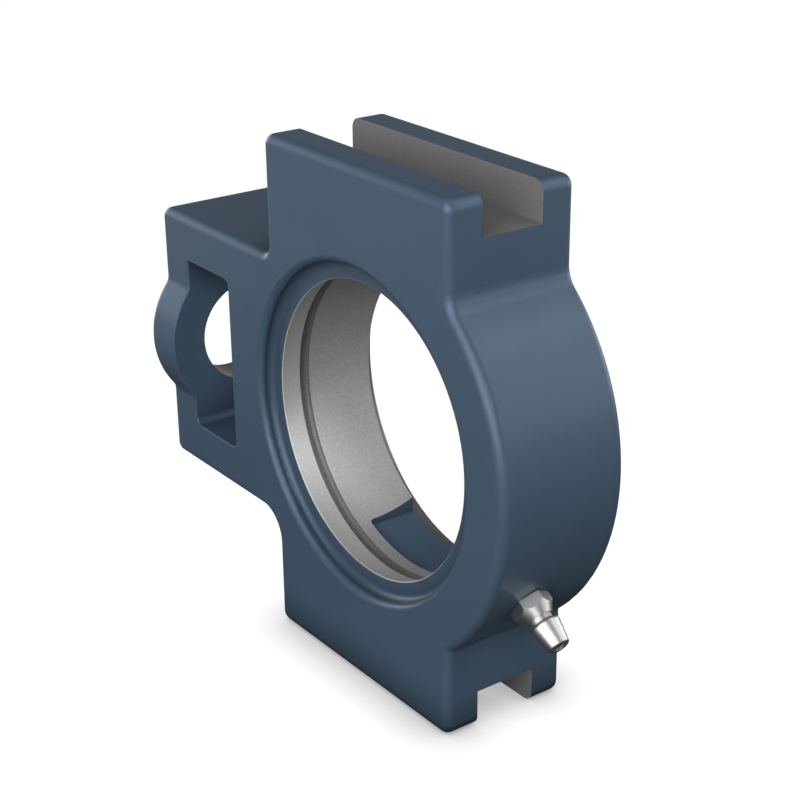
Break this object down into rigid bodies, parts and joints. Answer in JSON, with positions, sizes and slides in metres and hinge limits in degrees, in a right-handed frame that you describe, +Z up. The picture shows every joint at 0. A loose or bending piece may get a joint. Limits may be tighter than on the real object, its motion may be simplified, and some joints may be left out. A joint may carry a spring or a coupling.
{
  "type": "take-up bearing housing",
  "caption": "Painted cast-iron take-up bearing housing: spherical bearing seat in a ring, guide slots above and below, a nut window with a screw hole at one end, a grease nipple.",
  "frame": {"origin": "centre of the spherical bearing seat, on the casting's mid-plane between its front and back face", "axes": "+X along the sliding direction, away from the adjusting screw, +Y along the bearing's axis towards the back face with the loading slots, +Z up to the upper guide slot"},
  "size_m": [0.1174, 0.037, 0.1042],
  "materials": {
    "painted_iron": "satin blue-grey paint on cast iron, with bare machined faces",
    "plated_steel": "bright plated, turned",
    "ball_steel": "polished",
    "spring_steel": "drawn wire"
  },
  "bodies": {
    "casting": {"housing": "painted_iron", "nipple_body": "plated_steel", "nipple_spring": "spring_steel"},
    "check_ball": {"nipple_ball": "ball_steel"}
  },
  "joints": [
    {"name": "check_ball_slide", "type": "slide", "parent": "casting", "child": "check_ball", "axis": [-0.8572, 0, 0.515], "range_m": [0, 0.0008], "stiffness_N_per_m": 300, "springref_m": -0.001, "deforming": ["nipple_spring"]}
  ]
}
